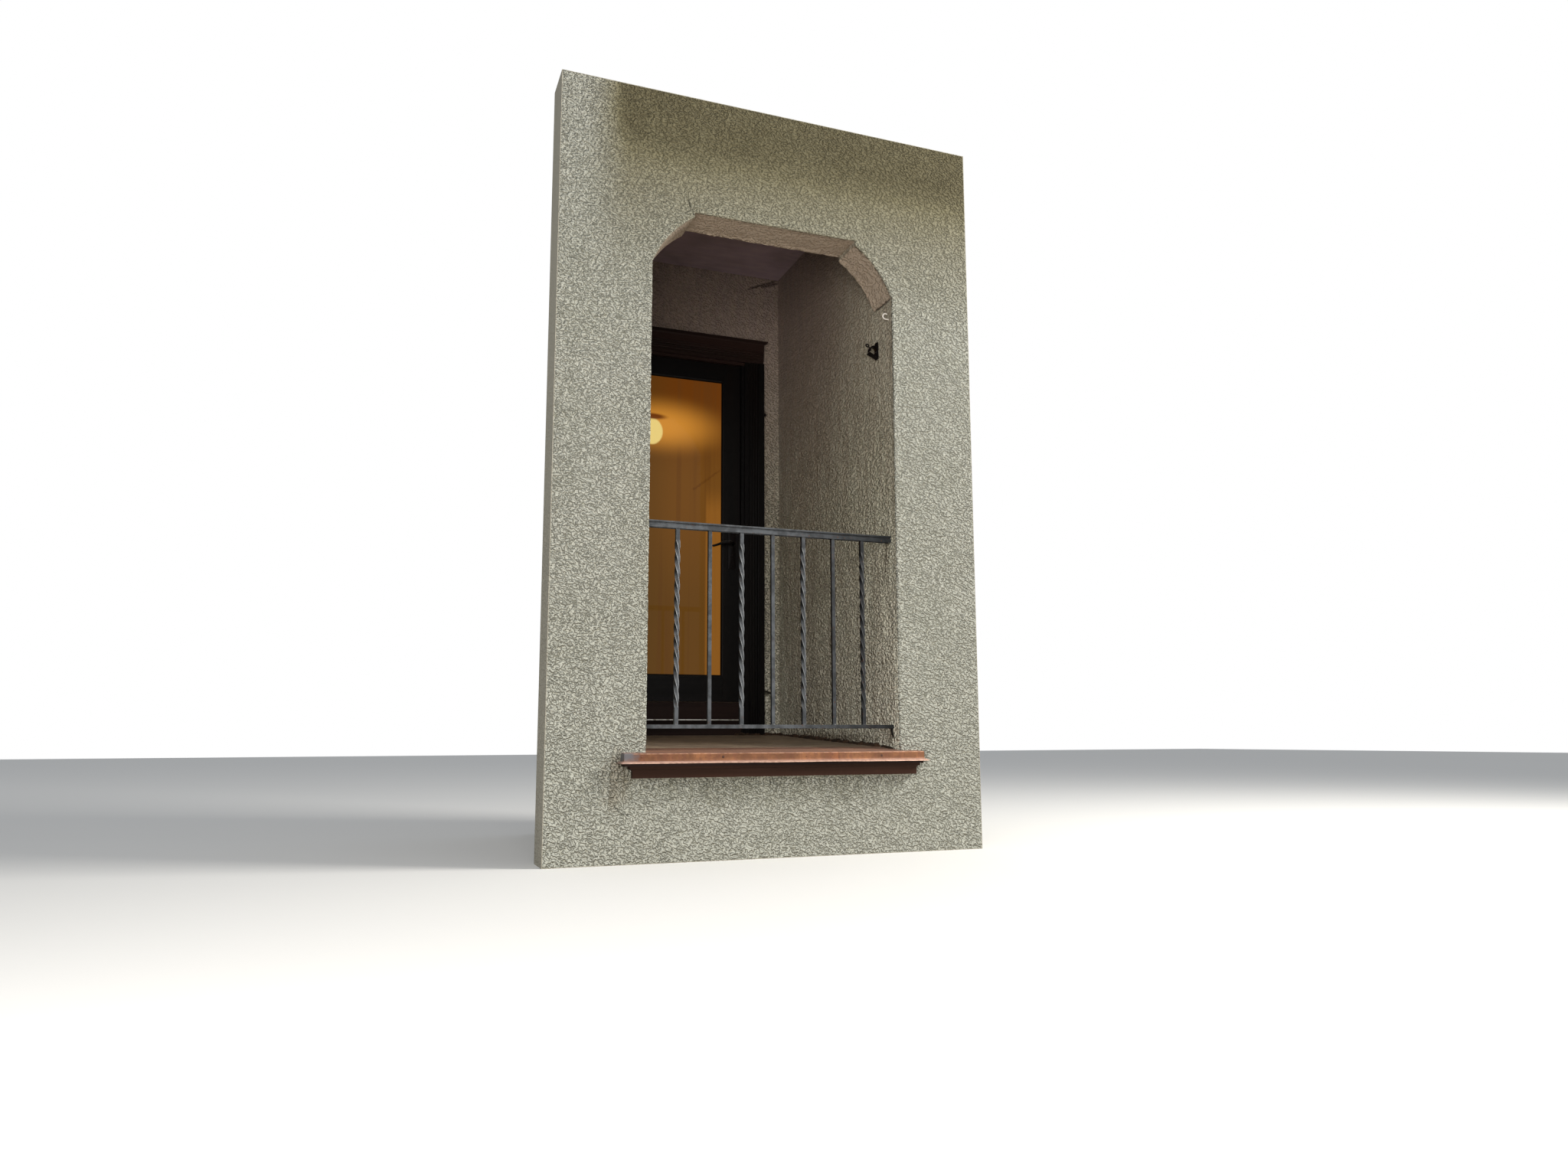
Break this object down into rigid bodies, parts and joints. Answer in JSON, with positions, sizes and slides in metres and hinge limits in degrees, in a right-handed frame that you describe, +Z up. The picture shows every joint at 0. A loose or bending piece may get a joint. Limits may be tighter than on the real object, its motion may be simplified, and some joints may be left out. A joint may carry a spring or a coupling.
{
  "type": "juliet balcony",
  "caption": "Recessed balcony bay of rendered wall: an opening with arched, shouldered corners, a guard of plain and twisted iron bars, a copper-clad sill and a glazed door behind.",
  "frame": {"origin": "centre of the bay's box on the level plane of its cut base", "axes": "+X right along the facade as seen from outside, +Y into the wall, +Z up"},
  "size_m": [1.94, 1.696, 3.29],
  "materials": {
    "facade_render": "rough dash-textured lime and cement render",
    "recess_render": "the same dash render, darker and dirtier in the shelter of the recess",
    "ceiling_plaster": "smooth trowelled plaster, brown-grey",
    "deck": "dark grey-brown coated deck, dusty",
    "dark_paint": "moulded wood under almost black paint, satin",
    "brown_paint": "wood under dark brown paint, dusty and faded",
    "threshold_metal": "bare metal strip, dull with wear",
    "door_glass": "clear sealed glass with the warm boarded room behind it",
    "black_metal": "black metal, worn",
    "copper": "weathered copper sheet, brown to orange with grey-blue patina",
    "guard_iron": "grey painted square iron, chipped and rusted in spots",
    "white_metal": "white coated wire"
  },
  "bodies": {
    "root": {"front_pier_left": "facade_render", "front_pier_right": "facade_render", "front_header": "facade_render", "apron_wall": "facade_render", "cheek_left": "recess_render", "cheek_right": "recess_render", "recess_ceiling": "ceiling_plaster", "floor_slab": "deck", "floor_deck": "deck", "back_wall_left": "recess_render", "back_wall_right": "recess_render", "back_wall_head": "recess_render", "back_wall_under": "recess_render", "jamb_left": "dark_paint", "jamb_right": "dark_paint", "jamb_head": "dark_paint", "riser_board": "brown_paint", "metal_threshold": "threshold_metal", "sill_board": "brown_paint", "casing_left": "dark_paint", "casing_right": "dark_paint", "casing_head": "dark_paint", "casing_cap": "dark_paint", "door_stile_left": "dark_paint", "door_stile_right": "dark_paint", "door_rail_top": "dark_paint", "door_rail_bottom": "dark_paint", "door_glazing_bead": "dark_paint", "door_glass": "door_glass", "door_handle": "black_metal", "sill_core": "brown_paint", "copper_sill": "copper", "bed_moulding": "brown_paint", "guard_cap": "guard_iron", "guard_channel": "guard_iron", "guard_bottom_rail": "guard_iron", "baluster_1": "guard_iron", "baluster_2": "guard_iron", "baluster_3": "guard_iron", "baluster_4": "guard_iron", "baluster_5": "guard_iron", "baluster_6": "guard_iron", "baluster_7": "guard_iron", "cheek_hook": "white_metal", "cheek_bracket": "black_metal"}
  },
  "joints": []
}
